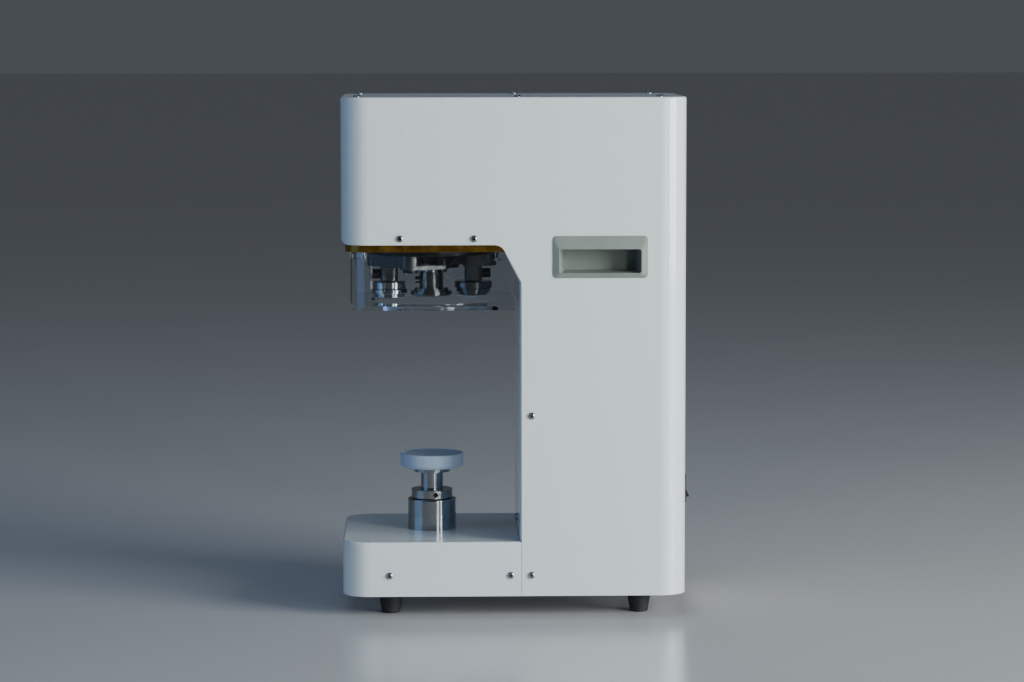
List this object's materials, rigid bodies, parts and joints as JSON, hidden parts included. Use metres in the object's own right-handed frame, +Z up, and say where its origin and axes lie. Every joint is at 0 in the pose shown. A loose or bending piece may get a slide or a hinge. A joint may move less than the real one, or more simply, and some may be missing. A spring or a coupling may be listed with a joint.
{
  "type": "can and cup sealing machine",
  "caption": "Bench-top sealing machine: white C-shaped body, revolving roller head in a clear guard above a rising round tray.",
  "frame": {"origin": "on the table under the middle of the machine's outer box", "axes": "+Z up, the front with the tray and display faces -Y, +X to the right seen from the front"},
  "size_m": [0.214, 0.3656, 0.5447],
  "materials": {
    "white_coat": "gloss",
    "steel_frame": "zinc plated",
    "bright_steel": "polished",
    "black_steel": "black oxide",
    "arm_steel": "ground",
    "gold_anodised": "gold anodised",
    "aluminium": "machined",
    "clear_guard": "clear",
    "display_glass": "gloss",
    "display_frame": "satin",
    "handle_grey": "moulded",
    "tray_plastic": "frosted",
    "black_rubber": "matt",
    "black_plastic": "satin",
    "motor_case": "satin",
    "board_green": "satin",
    "stainless": "polished",
    "brass": "machined"
  },
  "bodies": {
    "machine": {"base_plate": "steel_frame", "feet": "black_rubber", "base_cover": "white_coat", "body_shell": "white_coat", "top_cover": "white_coat", "column_panel": "white_coat", "side_frame_left": "steel_frame", "side_frame_right": "steel_frame", "head_plate": "gold_anodised", "guard": "clear_guard", "spindle": "bright_steel", "chuck": "bright_steel", "chuck_screw": "stainless", "bearing_housing": "aluminium", "hub_bearings": "bright_steel", "bridge_posts": "steel_frame", "spindle_bridge": "aluminium", "motor_bracket": "steel_frame", "drive_motor": "motor_case", "rotor_belt": "black_rubber", "cam_belt": "black_rubber", "lift_deck": "steel_frame", "lift_cylinder": "bright_steel", "lift_belt": "black_rubber", "lift_motor": "motor_case", "display_frame": "display_frame", "display_glass": "display_glass", "control_board": "board_green", "power_supply": "steel_frame", "power_inlet": "black_plastic", "handle_left": "handle_grey", "handle_right": "handle_grey", "button_screws": "stainless", "cap_screws": "black_steel"},
    "rotor": {"rotor": "black_steel", "rotor_pulley": "aluminium", "pivot_pins": "black_steel"},
    "cam": {"cam": "black_steel", "cam_pulley": "aluminium"},
    "arm_front": {"arm_front": "arm_steel", "roller_holder_front": "arm_steel", "clamp_screw_front": "black_steel", "roller_bolt_front": "black_steel", "cam_follower_front": "black_steel"},
    "arm_rear": {"arm_rear": "arm_steel", "roller_holder_rear": "arm_steel", "clamp_screw_rear": "black_steel", "roller_bolt_rear": "black_steel", "cam_follower_rear": "black_steel"},
    "roller_front": {"roller_front": "bright_steel"},
    "roller_rear": {"roller_rear": "bright_steel"},
    "drive_shaft": {"drive_pulley": "steel_frame"},
    "lift": {"lift_stem": "bright_steel", "lift_nut": "brass", "stop_collar": "stainless", "collar_screw": "black_steel", "tray": "tray_plastic"},
    "lead_screw": {"lead_screw": "bright_steel"},
    "lift_motor_shaft": {"lift_motor_pulley": "aluminium"},
    "power_switch": {"power_switch": "black_plastic"}
  },
  "joints": [
    {"name": "rotor_spin", "type": "hinge", "parent": "machine", "child": "rotor", "pos_m": [0, -0.089, 0.3754], "axis": [0, 0, 1], "continuous": true},
    {"name": "cam_turn", "type": "hinge", "parent": "rotor", "child": "cam", "pos_m": [0, -0.089, 0.3754], "axis": [0, 0, 1], "range_deg": [-60, 60]},
    {"name": "arm_front_swing", "type": "hinge", "parent": "rotor", "child": "arm_front", "pos_m": [0.04, -0.111, 0.362], "axis": [0, 0, 1], "range_deg": [-4.6, 4.6]},
    {"name": "arm_rear_swing", "type": "hinge", "parent": "rotor", "child": "arm_rear", "pos_m": [-0.04, -0.067, 0.362], "axis": [0, 0, 1], "range_deg": [-4.6, 4.6]},
    {"name": "roller_front_spin", "type": "hinge", "parent": "arm_front", "child": "roller_front", "pos_m": [0, -0.1338, 0.332], "axis": [0, 0, 1], "continuous": true},
    {"name": "roller_rear_spin", "type": "hinge", "parent": "arm_rear", "child": "roller_rear", "pos_m": [0, -0.0442, 0.332], "axis": [0, 0, 1], "continuous": true},
    {"name": "drive_shaft_spin", "type": "hinge", "parent": "machine", "child": "drive_shaft", "pos_m": [0, 0.092, 0.4025], "axis": [0, 0, 1], "continuous": true},
    {"name": "tray_lift", "type": "slide", "parent": "machine", "child": "lift", "axis": [0, 0, 1], "range_m": [0, 0.04]},
    {"name": "lead_screw_turn", "type": "hinge", "parent": "machine", "child": "lead_screw", "pos_m": [0, -0.089, 0.042], "axis": [0, 0, 1], "range_deg": [-0.5, 3600.5]},
    {"name": "lift_motor_turn", "type": "hinge", "parent": "machine", "child": "lift_motor_shaft", "pos_m": [0, -0.0309, 0.042], "axis": [0, 0, 1], "range_deg": [-0.5, 7200.5]},
    {"name": "power_rocker", "type": "hinge", "parent": "machine", "child": "power_switch", "pos_m": [0.0565, 0.176, 0.129], "axis": [1, 0, 0], "range_deg": [0, 20]}
  ],
  "couplings": [
    {"joint": "arm_front_swing", "follows": "cam_turn", "ratio": -0.073333},
    {"joint": "arm_rear_swing", "follows": "cam_turn", "ratio": 0.073333},
    {"joint": "drive_shaft_spin", "follows": "rotor_spin", "ratio": 2.848},
    {"joint": "lead_screw_turn", "follows": "tray_lift", "rad_per_m": 1570.8},
    {"joint": "lift_motor_turn", "follows": "tray_lift", "rad_per_m": 3141.6}
  ]
}
